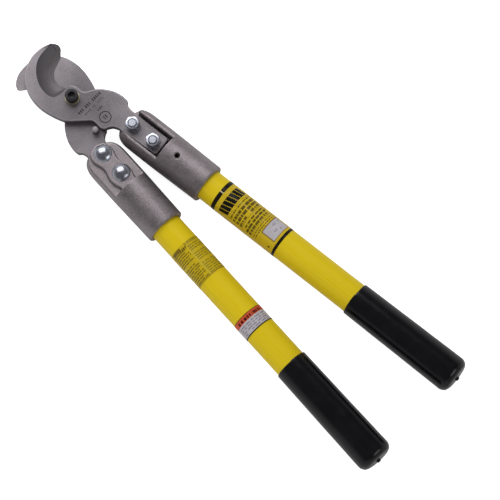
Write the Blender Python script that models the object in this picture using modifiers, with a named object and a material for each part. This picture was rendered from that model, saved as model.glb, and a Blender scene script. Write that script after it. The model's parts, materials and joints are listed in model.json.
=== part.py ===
"""Two-handed cable cutter with fibreglass handles.

Two equal hook blades cross on a pivot screw. Each blade is bolted into the channel of a cast socket,
and the socket holds a fibreglass tube with a vinyl grip. The left half is the right half turned over
about the tool's long axis.

Metres, +Z up. The tool lies flat: the jaws point to +Y and the pivot axis is vertical. The origin is
under the middle of the tool, on the surface that it lies on.
"""
import math

import bmesh
import bpy
from mathutils import Matrix, Vector

MM = 0.001
GAP = 0.3 * MM                      # clearance between neighbouring pieces
MERGE = 0.01 * MM

# Overall layout. The half frame has its origin on the pivot axis at the blades' shared plane.
JAW_REACH = 58.6 * MM               # pivot to the top of the jaws
HANDLE_ANGLE = math.radians(4.7)    # each handle leans out from the tool's long axis
HANDLE_X = 16.45 * MM               # the handle's axis passes the pivot at this distance
HANDLE_END = 463.0 * MM             # along the handle, from the pivot to the end of the grip

# Blades
BLADE_THICKNESS = 8.0 * MM
BLADE_CHAMFER = 0.5 * MM
EDGE_LAND = 0.3 * MM                # thickness left at the cutting edge
SHANK_OUTER = 10.0 * MM             # shank edges, measured from the handle's axis
SHANK_INNER = -10.3 * MM
SHANK_END = 98.5 * MM
SHANK_CORNER = 2.5 * MM
BOLT_PLACES = ((-1.2 * MM, 62.6 * MM), (-1.9 * MM, 88.9 * MM))   # across and along the handle

# Cast socket
SOCKET_NOSE = 52.5 * MM
SOCKET_SHOULDER = 75.0 * MM
SOCKET_STEP = 103.0 * MM
SOCKET_MOUTH = 156.0 * MM
SOCKET_RADIUS = 20.7 * MM
SOCKET_MOUTH_RADIUS = 20.0 * MM
SOCKET_RIM = 1.5 * MM
NOSE_POWER = 3.0
CHANNEL_HALF_WIDTH = 12.3 * MM
WALL_NOSE = 58.5 * MM
WALL_TOP = 14.0 * MM
FLAT_LEVEL = -10.0 * MM
PAD_LEVEL = -13.5 * MM
BORE_DEPTH = 110.0 * MM             # where the tube's bore ends, along the handle

# Handle tube, core and grip
TUBE_RADIUS = 15.875 * MM
TUBE_BORE = 12.7 * MM
GRIP_START = 337.0 * MM
GRIP_MOUTH_RADIUS = 17.2 * MM
GRIP_END_RADIUS = 18.3 * MM
GRIP_CORNER = 8.0 * MM
GRIP_END_WALL = 4.0 * MM
NUB_RADIUS = 2.2 * MM
NUB_HEIGHT = 2.2 * MM

# Labels, as stations along the handle
LABEL_THICKNESS = 0.3 * MM
RIGHT_LABEL = (172.0 * MM, 249.7 * MM)
LEFT_LABEL = (182.5 * MM, 223.8 * MM)
WARNING_LABEL = (273.7 * MM, 292.4 * MM)

# Fasteners
BOLT_RADIUS = 3.97 * MM
DOME_RADIUS = 9.0 * MM
DOME_HEIGHT = 4.6 * MM
NECK_DEPTH = 4.0 * MM
WASHER_THICKNESS = 1.6 * MM
BOLT_WASHER_RADIUS = 7.0 * MM
BOLT_NUT_FLATS = 12.7 * MM
BOLT_NUT_HEIGHT = 6.7 * MM
THREAD_PROUD = 1.0 * MM
PIVOT_RADIUS = 4.0 * MM
PIVOT_HEAD_RADIUS = 6.5 * MM
PIVOT_HEAD_HEIGHT = 8.0 * MM
PIVOT_SOCKET_FLATS = 6.0 * MM
PIVOT_SOCKET_DEPTH = 4.0 * MM
PIVOT_WASHER_RADIUS = 7.4 * MM
PIVOT_NUT_FLATS = 13.0 * MM
PIVOT_NUT_HEIGHT = 6.8 * MM
STOP_PIN_RADIUS = 3.175 * MM
STOP_PIN_TOP = 8.0 * MM
STOP_PIN_PLACE = (7.6 * MM, -38.7 * MM)   # in the back blade's own half frame
ROLL_PIN_RADIUS = 2.38 * MM
ROLL_PIN_WALL = 0.5 * MM
ROLL_PIN_STATION = 118.2 * MM
ROLL_PIN_SPAN = (8.8 * MM, 18.0 * MM)

BLADE_BOTTOM = GAP / 2              # the blades pass each other with one gap between them
BLADE_TOP = BLADE_BOTTOM + BLADE_THICKNESS
PIVOT_PLACE = Vector((0, (HANDLE_END * math.cos(HANDLE_ANGLE) - JAW_REACH) / 2, SOCKET_RADIUS))

# Blade outline in millimetres, on the half frame, clockwise from the neck beside the pivot
HOOK_BACK = [(-22.1, -10.1), (-25.7, 0.4), (-28.3, 12.3), (-28.5, 23.3), (-26, 35), (-20.1, 45.6),
             (-11, 53.4), (1.8, 58.2), (12.8, 58.4), (19.9, 56.7), (25.1, 53.8)]
TIP_END = [(25.1, 53.8), (28.1, 50.8), (29.4, 47.8), (28.6, 45)]
CUTTING_EDGE = [(22.2, 39), (15.8, 36.9), (9.9, 35), (5.1, 31.2), (1.9, 25.8), (1.4, 19.6),
                (3.1, 14.4), (7.1, 11.1)]
BEVEL_LINE = [(25.1, 53.8), (16.2, 53.8), (9.4, 53), (3.4, 51.2), (-1.6, 47.9), (-6.4, 43.2),
              (-10.4, 37.4), (-13.3, 31.3), (-14.6, 24.9), (-14.2, 17.9), (-11.2, 13.2), (-4.5, 11.2),
              (0.9, 11.1), (6.3, 10.7)]
HUB_AND_LOBE = [(7.1, 11.1), (10.2, 6.9), (11.3, 2.5), (11.6, -2.5), (14.8, -6), (20.6, -9.2),
                (25.3, -13.6), (29.4, -19), (32.8, -25.3), (34.8, -33.2), (35.1, -39.8)]
NOTCH = [(35.1, -39.8), (34.4, -42), (32.3, -43.9), (31.2, -46.7), (30.7, -50.9)]
INNER_EDGE = [(9.3, -58.5), (8.6, -54.2), (6.5, -49.7), (2.9, -46.8), (-1.1, -44.8), (-2.9, -40.7),
              (-2.6, -35.2), (-3.3, -30.2), (-8, -25.2), (-13.3, -20), (-18.2, -15.1),
              (-22.1, -10.1)]


# ---------------------------------------------------------------- scene and small helpers

def clear_scene():
    for item in list(bpy.data.objects):
        bpy.data.objects.remove(item, do_unlink=True)


def collection(name):
    made = bpy.data.collections.new(name)
    bpy.context.scene.collection.children.link(made)
    return made


def material(name, colour, roughness, metallic):
    made = bpy.data.materials.new(name)
    made.use_nodes = True
    shader = made.node_tree.nodes["Principled BSDF"]
    shader.inputs["Base Color"].default_value = (*colour, 1)
    shader.inputs["Roughness"].default_value = roughness
    shader.inputs["Metallic"].default_value = metallic
    made.diffuse_color = (*colour, 1)
    return made


def make_object(name, mesh, group):
    made = bpy.data.objects.new(name, mesh)
    group.objects.link(made)
    return made


def mesh_from(bm, name):
    bmesh.ops.recalc_face_normals(bm, faces=bm.faces)
    mesh = bpy.data.meshes.new(name)
    bm.to_mesh(mesh)
    bm.free()
    return mesh


def evaluated_mesh(item):
    """The object's mesh with its modifiers applied; the object and its cutters are removed."""
    depsgraph = bpy.context.evaluated_depsgraph_get()
    mesh = bpy.data.meshes.new_from_object(item.evaluated_get(depsgraph))
    cutters = [modifier.object for modifier in item.modifiers if modifier.type == "BOOLEAN"]
    name = item.name
    for used in [item] + cutters:
        bpy.data.objects.remove(used, do_unlink=True)
    mesh.name = name
    mesh.shade_smooth()
    mesh.set_sharp_from_angle(angle=math.radians(35))
    return mesh


def boolean(item, cutter, operation="DIFFERENCE"):
    cutter.hide_render = True
    cutter.display_type = "WIRE"
    modifier = item.modifiers.new(cutter.name, "BOOLEAN")
    modifier.operation = operation
    modifier.solver = "EXACT"
    modifier.object = cutter


def catmull_rom(points, steps):
    """A smooth curve through the points, which are given in millimetres; steps per stretch."""
    knots = [Vector(point) * MM for point in points]
    knots = [2 * knots[0] - knots[1]] + knots + [2 * knots[-1] - knots[-2]]
    curve = []
    for a, b, c, d in zip(knots, knots[1:], knots[2:], knots[3:]):
        for step in range(steps):
            t = step / steps
            curve.append(0.5 * (2 * b + (c - a) * t + (2 * a - 5 * b + 4 * c - d) * t ** 2
                                + (3 * b - a - 3 * c + d) * t ** 3))
    return curve + [knots[-2]]


def resample(curve, count):
    """The curve as count points, evenly spaced along its length."""
    lengths = [0.0]
    for a, b in zip(curve, curve[1:]):
        lengths.append(lengths[-1] + (b - a).length)
    even = []
    index = 0
    for step in range(count):
        target = lengths[-1] * step / (count - 1)
        while index < len(curve) - 2 and lengths[index + 1] < target:
            index += 1
        span = lengths[index + 1] - lengths[index]
        even.append(curve[index].lerp(curve[index + 1], (target - lengths[index]) / span))
    return even


def on_handle(across, along):
    """A point given from the handle's axis, on the half frame."""
    x = HANDLE_X + across * math.cos(HANDLE_ANGLE) + along * math.sin(HANDLE_ANGLE)
    y = across * math.sin(HANDLE_ANGLE) - along * math.cos(HANDLE_ANGLE)
    return Vector((x, y))


def box(name, low, high, group):
    """A box between two corners."""
    bm = bmesh.new()
    bmesh.ops.create_cube(bm, size=1)
    low, high = Vector(low), Vector(high)
    bmesh.ops.scale(bm, vec=high - low, verts=bm.verts)
    bmesh.ops.translate(bm, vec=(low + high) / 2, verts=bm.verts)
    return make_object(name, mesh_from(bm, name), group)


def rod(name, radius, low, high, place, group, segments=32, axis="Z"):
    """A cylinder or prism from low to high along an axis through the place."""
    bm = bmesh.new()
    bmesh.ops.create_cone(bm, cap_ends=True, segments=segments, radius1=radius, radius2=radius,
                          depth=high - low)
    bmesh.ops.translate(bm, vec=(0, 0, (low + high) / 2), verts=bm.verts)
    if axis == "Y":
        bmesh.ops.rotate(bm, matrix=Matrix.Rotation(math.radians(-90), 3, "X"), verts=bm.verts)
    bmesh.ops.translate(bm, vec=place, verts=bm.verts)
    return make_object(name, mesh_from(bm, name), group)


def turned(name, profile, group, steps=40):
    """A profile of (radius, height) turned about Z. It runs down the outer side."""
    mesh = bpy.data.meshes.new(name)
    points = [(radius, 0, height) for radius, height in profile]
    mesh.from_pydata(points, [(i, i + 1) for i in range(len(points) - 1)], [])
    item = make_object(name, mesh, group)
    screw = item.modifiers.new("turn", "SCREW")
    screw.steps = steps
    screw.render_steps = steps
    screw.use_merge_vertices = True
    screw.merge_threshold = MERGE
    return item


def corner_arc(centre, radius, start, end, steps=5):
    """Points on a quarter turn or other arc, angles in degrees."""
    angles = [math.radians(start + (end - start) * i / steps) for i in range(steps + 1)]
    return [(centre[0] + radius * math.cos(a), centre[1] + radius * math.sin(a)) for a in angles]


# ---------------------------------------------------------------- blades

def blade_stations():
    """Blade outline as (foot, shoulder height, top point), clockwise.

    The foot is on the blade's inner face. The wall stands on it up to the shoulder height, and the
    surface then runs to the top point on the outer face: a small chamfer along plain edges, and the
    wide ground bevel along the cutting edge and the tip.
    """
    outline = []
    kinds = []

    def add(points, kind):
        outline.extend(points[:-1])
        kinds.extend([kind] * (len(points) - 1))

    add(catmull_rom(HOOK_BACK, 3), "plain")
    tip = catmull_rom(TIP_END, 3) + [Vector(CUTTING_EDGE[0]) * MM]
    edge = resample(catmull_rom(CUTTING_EDGE, 6), 28)
    line = resample(catmull_rom(BEVEL_LINE, 4), 28)
    add(tip, "tip")
    add(edge, "edge")
    add(catmull_rom(HUB_AND_LOBE, 3), "plain")
    add(catmull_rom(NOTCH, 2) + [on_handle(SHANK_OUTER, SHANK_END - SHANK_CORNER)], "plain")
    for across, inward, start in ((SHANK_OUTER, -1, 0), (SHANK_INNER, 1, 90)):
        centre = (across + inward * SHANK_CORNER, SHANK_END - SHANK_CORNER)
        arc = corner_arc(centre, SHANK_CORNER, start, start + 90, 3)
        add([on_handle(*point) for point in arc] + [None], "plain")
    add(catmull_rom(INNER_EDGE, 2), "plain")

    # The bevel plane at the tip passes through the cutting edge and the end of the bevel line.
    along = (edge[0] - edge[1]).normalized()
    normal = Vector((-along.y, along.x))
    rise = BLADE_THICKNESS / (line[0] - edge[0]).dot(normal)
    count = len(outline)
    stations = []
    edge_index = 0
    for i, foot in enumerate(outline):
        if kinds[i] == "plain":
            tangent = (outline[(i + 1) % count] - outline[i - 1]).normalized()
            inward = Vector((tangent.y, -tangent.x))
            top = foot + inward * BLADE_CHAMFER
            stations.append((foot, BLADE_THICKNESS - BLADE_CHAMFER, top))
        elif kinds[i] == "tip":
            height = max(EDGE_LAND, min((foot - edge[0]).dot(normal) * rise,
                                        BLADE_THICKNESS - BLADE_CHAMFER))
            stations.append((foot, height, None))
        else:
            stations.append((foot, EDGE_LAND, line[edge_index]))
            edge_index += 1
    return stations, line[0]


def blade_mesh(name, work, extra_holes):
    stations, tip_top = blade_stations()
    bm = bmesh.new()
    feet = []
    shoulders = []
    tops = []
    tip_vertex = bm.verts.new((*tip_top, BLADE_TOP))
    for foot, height, top in stations:
        feet.append(bm.verts.new((*foot, BLADE_BOTTOM)))
        shoulders.append(bm.verts.new((*foot, BLADE_BOTTOM + height)))
        at_tip = top is None or (top - tip_top).length < MERGE
        tops.append(tip_vertex if at_tip else bm.verts.new((*top, BLADE_TOP)))
    count = len(stations)
    for i in range(count):
        j = (i + 1) % count
        bm.faces.new((feet[i], feet[j], shoulders[j], shoulders[i]))
        upper = [shoulders[i], shoulders[j], tops[j], tops[i]]
        bm.faces.new(list(dict.fromkeys(upper)))
    bm.faces.new(feet)
    bm.faces.new(list(dict.fromkeys(tops)))
    item = make_object(name, mesh_from(bm, name), work)
    low = BLADE_BOTTOM - BLADE_THICKNESS
    high = BLADE_TOP + BLADE_THICKNESS
    places = [((0, 0), PIVOT_RADIUS + GAP)]
    places += [(on_handle(*spot), BOLT_RADIUS + GAP) for spot in BOLT_PLACES]
    for index, (place, radius) in enumerate(places + extra_holes):
        hole = rod(f"{name}_hole_{index}", radius, low, high, (*place, 0), work)
        boolean(item, hole)
    return evaluated_mesh(item)


# ---------------------------------------------------------------- cast socket

def nose_radius(along):
    """Superellipse nose that runs out into the socket's round body."""
    t = (SOCKET_SHOULDER - along) / (SOCKET_SHOULDER - SOCKET_NOSE)
    return SOCKET_RADIUS * max(0.0, 1 - t ** NOSE_POWER) ** (1 / NOSE_POWER)


def pad_cutout(work):
    """The raised figure-of-eight pad that the carriage bolts' heads sit on."""
    wide, waist = 11.3, 8.6
    first, second = (along / MM for across, along in BOLT_PLACES)
    middle = (first + second) / 2
    side = [(0, first - wide), (wide * 0.72, first - wide * 0.7), (wide, first), (waist, middle),
            (wide, second), (waist, SOCKET_STEP / MM - 2), (waist, SOCKET_STEP / MM + 2)]
    half = catmull_rom(side, 4)
    outline = half + [Vector((-x, y)) for x, y in reversed(half[1:])]
    bm = bmesh.new()
    face = bm.faces.new([bm.verts.new((x, PAD_LEVEL, along)) for x, along in outline])
    pulled = bmesh.ops.extrude_face_region(bm, geom=[face])
    lifted = [part for part in pulled["geom"] if isinstance(part, bmesh.types.BMVert)]
    bmesh.ops.translate(bm, vec=(0, -PAD_LEVEL / 2, 0), verts=lifted)
    return make_object("pad", mesh_from(bm, "pad"), work)


def socket_mesh(work):
    """Socket casting. Locally Z runs along the handle and Y is the open channel's side."""
    nose = [SOCKET_SHOULDER - (SOCKET_SHOULDER - SOCKET_NOSE) * math.sin(math.radians(a))
            for a in range(0, 90, 10)]
    bore = TUBE_RADIUS + GAP
    profile = [(0, BORE_DEPTH), (bore, BORE_DEPTH), (bore, SOCKET_MOUTH)]
    rim_centre = (SOCKET_MOUTH_RADIUS - SOCKET_RIM, SOCKET_MOUTH - SOCKET_RIM)
    profile += corner_arc(rim_centre, SOCKET_RIM, 90, 0, 3)
    profile += [(SOCKET_RADIUS, SOCKET_STEP)]
    profile += [(nose_radius(along), along) for along in nose]
    profile += [(0, SOCKET_NOSE)]
    item = turned("socket", profile, work, 48)

    far = 2 * SOCKET_RADIUS
    start = SOCKET_NOSE - SOCKET_RIM
    boolean(item, box("flat", (-far, -far, start), (far, FLAT_LEVEL, SOCKET_STEP), work))
    boolean(item, pad_cutout(work), "UNION")
    boolean(item, box("wall_tops", (-far, WALL_TOP, start), (far, far, SOCKET_STEP), work))
    boolean(item, box("channel", (-CHANNEL_HALF_WIDTH, -GAP / 2, start),
                      (CHANNEL_HALF_WIDTH, far - MM, SOCKET_STEP), work))
    boolean(item, box("nose", (-far, -GAP / 2, start), (far, far, WALL_NOSE), work))
    neck = BOLT_RADIUS + GAP
    for index, (across, along) in enumerate(BOLT_PLACES):
        place = (across, 0, along)
        boolean(item, rod(f"bolt_hole_{index}", neck, -far, far, place, work, axis="Y"))
        boolean(item, box(f"neck_{index}", (across - neck, -far, along - neck),
                          (across + neck, PAD_LEVEL + NECK_DEPTH + GAP, along + neck), work))
    hole = rod("pin_hole", ROLL_PIN_RADIUS + GAP, ROLL_PIN_SPAN[0], far,
               (0, 0, ROLL_PIN_STATION), work, 24, "Y")
    boolean(item, hole)
    return evaluated_mesh(item)


# ---------------------------------------------------------------- handle pieces

def pin_cutter(work):
    low = ROLL_PIN_SPAN[0] - GAP
    return rod("pin_cut", ROLL_PIN_RADIUS + GAP, low, 2 * SOCKET_RADIUS,
               (0, 0, ROLL_PIN_STATION), work, 24, "Y")


def tube_mesh(work):
    low = BORE_DEPTH + GAP
    high = HANDLE_END - GRIP_END_WALL - GAP
    profile = [(TUBE_BORE, low), (TUBE_BORE, high), (TUBE_RADIUS, high), (TUBE_RADIUS, low),
               (TUBE_BORE, low)]
    item = turned("tube", profile, work, 40)
    boolean(item, pin_cutter(work))
    return evaluated_mesh(item)


def core_mesh(work):
    low = BORE_DEPTH + GAP
    high = HANDLE_END - GRIP_END_WALL - GAP
    radius = TUBE_BORE - GAP
    item = turned("core", [(0, high), (radius, high), (radius, low), (0, low)], work, 32)
    boolean(item, pin_cutter(work))
    return evaluated_mesh(item)


def grip_mesh(work):
    bore = TUBE_RADIUS + GAP
    end = HANDLE_END - NUB_HEIGHT
    profile = [(0, HANDLE_END - GRIP_END_WALL), (bore, HANDLE_END - GRIP_END_WALL),
               (bore, GRIP_START)]
    outer = corner_arc((GRIP_END_RADIUS - GRIP_CORNER, end - GRIP_CORNER), GRIP_CORNER, 90, 0, 6)
    nub = [(0, HANDLE_END), (NUB_RADIUS * 0.8, HANDLE_END - 0.1 * MM), (NUB_RADIUS, end)]
    profile = nub + outer + [(GRIP_MOUTH_RADIUS, GRIP_START)] + profile[::-1]
    return evaluated_mesh(turned("grip", profile, work, 40))


def label_mesh(name, span, work):
    """A foil wrapped round the tube."""
    inner = TUBE_RADIUS + GAP
    outer = inner + LABEL_THICKNESS
    low, high = span
    profile = [(inner, low), (inner, high), (outer, high), (outer, low), (inner, low)]
    return evaluated_mesh(turned(name, profile, work, 32))


# ---------------------------------------------------------------- fasteners

def carriage_bolt_mesh(work):
    """Head down: the dome is at -Z, the square neck and the shank rise from it."""
    end = (BLADE_TOP + GAP - PAD_LEVEL + WASHER_THICKNESS + GAP + BOLT_NUT_HEIGHT + THREAD_PROUD)
    sphere = (DOME_RADIUS ** 2 + DOME_HEIGHT ** 2) / (2 * DOME_HEIGHT)
    half_angle = math.degrees(math.asin(DOME_RADIUS / sphere))
    top = 0.6 * MM
    shank = [(0, end), (BOLT_RADIUS - top, end), (BOLT_RADIUS, end - top), (BOLT_RADIUS, -GAP),
             (DOME_RADIUS, -GAP)]
    dome = corner_arc((0, sphere - DOME_HEIGHT - GAP), sphere, half_angle - 90, -90, 6)
    item = turned("carriage_bolt", shank + dome[1:-1] + [(0, -DOME_HEIGHT - GAP)], work, 32)
    neck = BOLT_RADIUS
    boolean(item, box("neck", (-neck, -neck, -2 * GAP), (neck, neck, NECK_DEPTH - GAP), work),
            "UNION")
    return evaluated_mesh(item)


def hex_nut_mesh(name, flats, height, bore, work):
    """A hexagon with its corners turned off at both faces."""
    corner = flats / math.sqrt(3)
    depth = (corner - flats / 2) * 0.6
    profile = [(0, height), (flats / 2 * 0.97, height), (corner, height - depth), (corner, depth),
               (flats / 2 * 0.97, 0), (0, 0)]
    item = turned(name, profile, work, 36)
    boolean(item, rod(f"{name}_hexagon", corner, -height, 2 * height, (0, 0, 0), work, 6),
            "INTERSECT")
    boolean(item, rod(f"{name}_bore", bore, -height, 2 * height, (0, 0, 0), work))
    return evaluated_mesh(item)


def washer_mesh(name, radius, bore, work):
    profile = [(bore, 0), (bore, WASHER_THICKNESS), (radius, WASHER_THICKNESS), (radius, 0),
               (bore, 0)]
    return evaluated_mesh(turned(name, profile, work, 32))


def pivot_screw_mesh(work):
    """Socket-head cap screw; its seat under the head is at Z = 0 and its shank points down."""
    length = (2 * BLADE_THICKNESS + GAP + 2 * WASHER_THICKNESS + 4 * GAP + PIVOT_NUT_HEIGHT
              + THREAD_PROUD)
    edge = 0.6 * MM
    profile = [(0, PIVOT_HEAD_HEIGHT), (PIVOT_HEAD_RADIUS - edge, PIVOT_HEAD_HEIGHT),
               (PIVOT_HEAD_RADIUS, PIVOT_HEAD_HEIGHT - edge), (PIVOT_HEAD_RADIUS, 0),
               (PIVOT_RADIUS, 0), (PIVOT_RADIUS, edge - length), (PIVOT_RADIUS - edge, -length),
               (0, -length)]
    item = turned("pivot_screw", profile, work, 36)
    corner = PIVOT_SOCKET_FLATS / math.sqrt(3)
    boolean(item, rod("hex_socket", corner, PIVOT_HEAD_HEIGHT - PIVOT_SOCKET_DEPTH,
                      2 * PIVOT_HEAD_HEIGHT, (0, 0, 0), work, 6))
    return evaluated_mesh(item)


def stop_pin_mesh(work):
    """Round pin through the back blade; it stands up past the front blade's edge."""
    edge = 0.5 * MM
    low = -BLADE_TOP
    profile = [(0, STOP_PIN_TOP), (STOP_PIN_RADIUS - edge, STOP_PIN_TOP),
               (STOP_PIN_RADIUS, STOP_PIN_TOP - edge), (STOP_PIN_RADIUS, low), (0, low)]
    return evaluated_mesh(turned("stop_pin", profile, work, 24))


def roll_pin_mesh():
    """Slotted spring pin along Z: a rolled strip that doesn't quite close."""
    inner = ROLL_PIN_RADIUS - ROLL_PIN_WALL
    outer_arc = corner_arc((0, 0), ROLL_PIN_RADIUS, 10, 350, 20)
    inner_arc = corner_arc((0, 0), inner, 350, 10, 20)
    low, high = ROLL_PIN_SPAN
    bm = bmesh.new()
    face = bm.faces.new([bm.verts.new((x, y, low)) for x, y in outer_arc + inner_arc])
    pulled = bmesh.ops.extrude_face_region(bm, geom=[face])
    lifted = [part for part in pulled["geom"] if isinstance(part, bmesh.types.BMVert)]
    bmesh.ops.translate(bm, vec=(0, 0, high - low), verts=lifted)
    return mesh_from(bm, "roll_pin")


# ---------------------------------------------------------------- assembly

def make_materials():
    return {
        "steel": material("forged_steel", (0.26, 0.24, 0.25), 0.5, 0.9),
        "cast": material("cast_aluminium", (0.33, 0.30, 0.31), 0.55, 0.85),
        "zinc": material("zinc_plate", (0.72, 0.74, 0.78), 0.25, 1.0),
        "black": material("black_oxide", (0.02, 0.02, 0.02), 0.4, 0.7),
        "brass": material("brass", (0.55, 0.38, 0.14), 0.35, 1.0),
        "fibreglass": material("yellow_fibreglass", (0.68, 0.51, 0.02), 0.3, 0.0),
        "foam": material("foam_core", (0.8, 0.72, 0.5), 0.9, 0.0),
        "vinyl": material("black_vinyl", (0.01, 0.01, 0.012), 0.35, 0.0),
        "amber": material("amber_label", (0.72, 0.5, 0.03), 0.3, 0.0),
        "warning": material("warning_label", (0.75, 0.74, 0.72), 0.3, 0.0),
    }


def empty(name, group, parent=None, location=(0, 0, 0), rotation=(0, 0, 0)):
    made = make_object(name, None, group)
    made.parent = parent
    made.location = location
    made.rotation_euler = rotation
    return made


def place(name, mesh, look, parent, group, location=(0, 0, 0), rotation=(0, 0, 0)):
    """One named piece. Pieces that are alike share their mesh."""
    item = make_object(name, mesh, group)
    if not mesh.materials:
        mesh.materials.append(look)
    item.parent = parent
    item.location = location
    item.rotation_euler = rotation
    return item


def build():
    clear_scene()
    parts = collection("cable_cutter")
    work = collection("cutters")
    looks = make_materials()

    stop_hole = [(STOP_PIN_PLACE, STOP_PIN_RADIUS + GAP)]
    blades = {"right": ("front_blade", blade_mesh("front_blade", work, [])),
              "left": ("back_blade", blade_mesh("back_blade", work, stop_hole))}
    socket = socket_mesh(work)
    tube = tube_mesh(work)
    core = core_mesh(work)
    grip = grip_mesh(work)
    bolt = carriage_bolt_mesh(work)
    washer = washer_mesh("washer", BOLT_WASHER_RADIUS, BOLT_RADIUS + GAP, work)
    nut = hex_nut_mesh("nut", BOLT_NUT_FLATS, BOLT_NUT_HEIGHT, BOLT_RADIUS + GAP, work)
    pin = roll_pin_mesh()

    upright = (math.radians(90), 0, 0)
    labels = {"right": [("right_label", RIGHT_LABEL, "amber")],
              "left": [("left_label", LEFT_LABEL, "amber"),
                       ("left_warning_label", WARNING_LABEL, "warning")]}
    for side, turn in (("right", 0), ("left", math.pi)):
        half = empty(f"{side}_half", parts, None, PIVOT_PLACE, (0, turn, 0))
        handle = empty(f"{side}_handle", parts, half, (HANDLE_X, 0, 0), (0, 0, HANDLE_ANGLE))
        name, blade = blades[side]
        place(name, blade, looks["steel"], half, parts)
        place(f"{side}_socket", socket, looks["cast"], handle, parts, rotation=upright)
        place(f"{side}_tube", tube, looks["fibreglass"], handle, parts, rotation=upright)
        place(f"{side}_foam_core", core, looks["foam"], handle, parts, rotation=upright)
        place(f"{side}_grip", grip, looks["vinyl"], handle, parts, rotation=upright)
        for name, span, look in labels[side]:
            place(name, label_mesh(name, span, work), looks[look], handle, parts,
                  rotation=upright)
        place(f"{side}_roll_pin", pin, looks["steel"], handle, parts, (0, -ROLL_PIN_STATION, 0))
        washer_level = BLADE_TOP + GAP
        nut_level = washer_level + WASHER_THICKNESS + GAP
        for end, (across, along) in zip(("front", "rear"), BOLT_PLACES):
            spot = Vector((across, -along, 0))
            place(f"{side}_{end}_bolt", bolt, looks["zinc"], handle, parts,
                  spot + Vector((0, 0, PAD_LEVEL)))
            place(f"{side}_{end}_washer", washer, looks["zinc"], handle, parts,
                  spot + Vector((0, 0, washer_level)))
            place(f"{side}_{end}_nut", nut, looks["zinc"], handle, parts,
                  spot + Vector((0, 0, nut_level)))

    # The pivot hardware and the stop pin stay with the left half; heights are on the right frame.
    pivot = empty("pivot", parts, None, PIVOT_PLACE)
    brass = washer_mesh("brass_washer", PIVOT_WASHER_RADIUS, PIVOT_RADIUS + GAP, work)
    seat = BLADE_TOP + GAP
    place("pivot_washer_front", brass, looks["brass"], pivot, parts, (0, 0, seat))
    place("pivot_washer_back", brass, looks["brass"], pivot, parts,
          (0, 0, -seat - WASHER_THICKNESS))
    head = seat + WASHER_THICKNESS + GAP
    place("pivot_screw", pivot_screw_mesh(work), looks["black"], pivot, parts, (0, 0, head))
    pivot_nut = hex_nut_mesh("pivot_nut", PIVOT_NUT_FLATS, PIVOT_NUT_HEIGHT, PIVOT_RADIUS + GAP,
                             work)
    place("pivot_nut", pivot_nut, looks["black"], pivot, parts,
          (0, 0, -head - PIVOT_NUT_HEIGHT))
    stop_x, stop_y = STOP_PIN_PLACE
    place("stop_pin", stop_pin_mesh(work), looks["steel"], pivot, parts, (-stop_x, stop_y, 0))


build()
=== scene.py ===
"""Looks of the two-handed cable cutter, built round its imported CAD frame.

Meshes are built in millimetres and scaled to metres when they are finished. Each half of the tool
is built on its own frame: the origin is on the pivot axis at the blades' shared plane, and the left
half is the right half turned over about the tool's long axis.
"""

import json
from math import asin, cos, degrees, pi, radians, remainder, sin, sqrt, tanh
import random

import bmesh
import bpy
from mathutils import Euler, Matrix, Vector


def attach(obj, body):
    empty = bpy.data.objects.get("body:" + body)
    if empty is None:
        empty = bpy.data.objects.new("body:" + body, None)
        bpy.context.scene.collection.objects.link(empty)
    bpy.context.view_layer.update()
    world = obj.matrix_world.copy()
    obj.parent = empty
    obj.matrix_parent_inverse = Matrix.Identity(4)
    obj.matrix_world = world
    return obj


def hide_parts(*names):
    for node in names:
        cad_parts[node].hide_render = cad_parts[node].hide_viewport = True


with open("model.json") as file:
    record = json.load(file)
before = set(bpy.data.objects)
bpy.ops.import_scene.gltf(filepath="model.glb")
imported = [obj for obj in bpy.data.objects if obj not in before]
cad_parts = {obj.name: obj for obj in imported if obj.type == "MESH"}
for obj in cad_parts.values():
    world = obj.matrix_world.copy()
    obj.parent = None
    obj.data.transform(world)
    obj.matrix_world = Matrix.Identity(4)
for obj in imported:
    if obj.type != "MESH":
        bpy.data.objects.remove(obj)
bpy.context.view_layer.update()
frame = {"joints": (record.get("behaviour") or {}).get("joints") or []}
SCENE = bpy.context.scene

MM = 0.001
PIVOT = Vector(frame["joints"][0]["pos_m"])

# ---- dimensions, in millimetres

SEAT = 0.05  # pieces that touch stand this far apart
FIT = 0.3  # a hole's radius is this much over what goes through it
THREAD_FIT = 0.06
HANDLE_ANGLE = radians(4.7)
HANDLE_X = 16.45
HANDLE_END = 463.0

BLADE_BOTTOM = 0.15
BLADE_THICKNESS = 8.0
BLADE_TOP = BLADE_BOTTOM + BLADE_THICKNESS
BLADE_ROUNDING = 1.1
STAMP_DEPTH = 0.25
STAMP_RING = (5.15, 6.1)
STAMP_RING_PLACE = (8.1, -37.1)
EDGE_LAND = 0.12
HONED_WIDTH = 1.7
HONED_SHARE = 0.3  # the honed edge takes at most this share of the bevel
HONED_RISE = 0.25
HOLLOW = 1.3  # the bevel is hollow ground this deep
EDGE_POINTS = 120
BEVEL_STEPS = 6
SUPPORT = 0.5  # the top face starts this far in from its edge
SHANK_OUTER = 10.0
SHANK_INNER = -10.3
SHANK_END = 98.5
SHANK_CORNER = 2.5
BOLT_PLACES = ((-1.2, 62.6), (-1.9, 88.9))

SOCKET_NOSE = 52.5
SOCKET_SHOULDER = 75.0
SOCKET_STEP = 103.0
SOCKET_MOUTH = 156.0
SOCKET_RADIUS = 20.7
SOCKET_MOUTH_RADIUS = 20.0
SOCKET_RIM = 1.5
NOSE_POWER = 3.0
CHANNEL_HALF_WIDTH = 12.3
WALL_NOSE = 58.5
WALL_TOP = 14.0
FLAT_LEVEL = -10.0
PAD_LEVEL = -13.5
BORE_DEPTH = 110.0
CAST_VOXEL = 0.6

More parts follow.
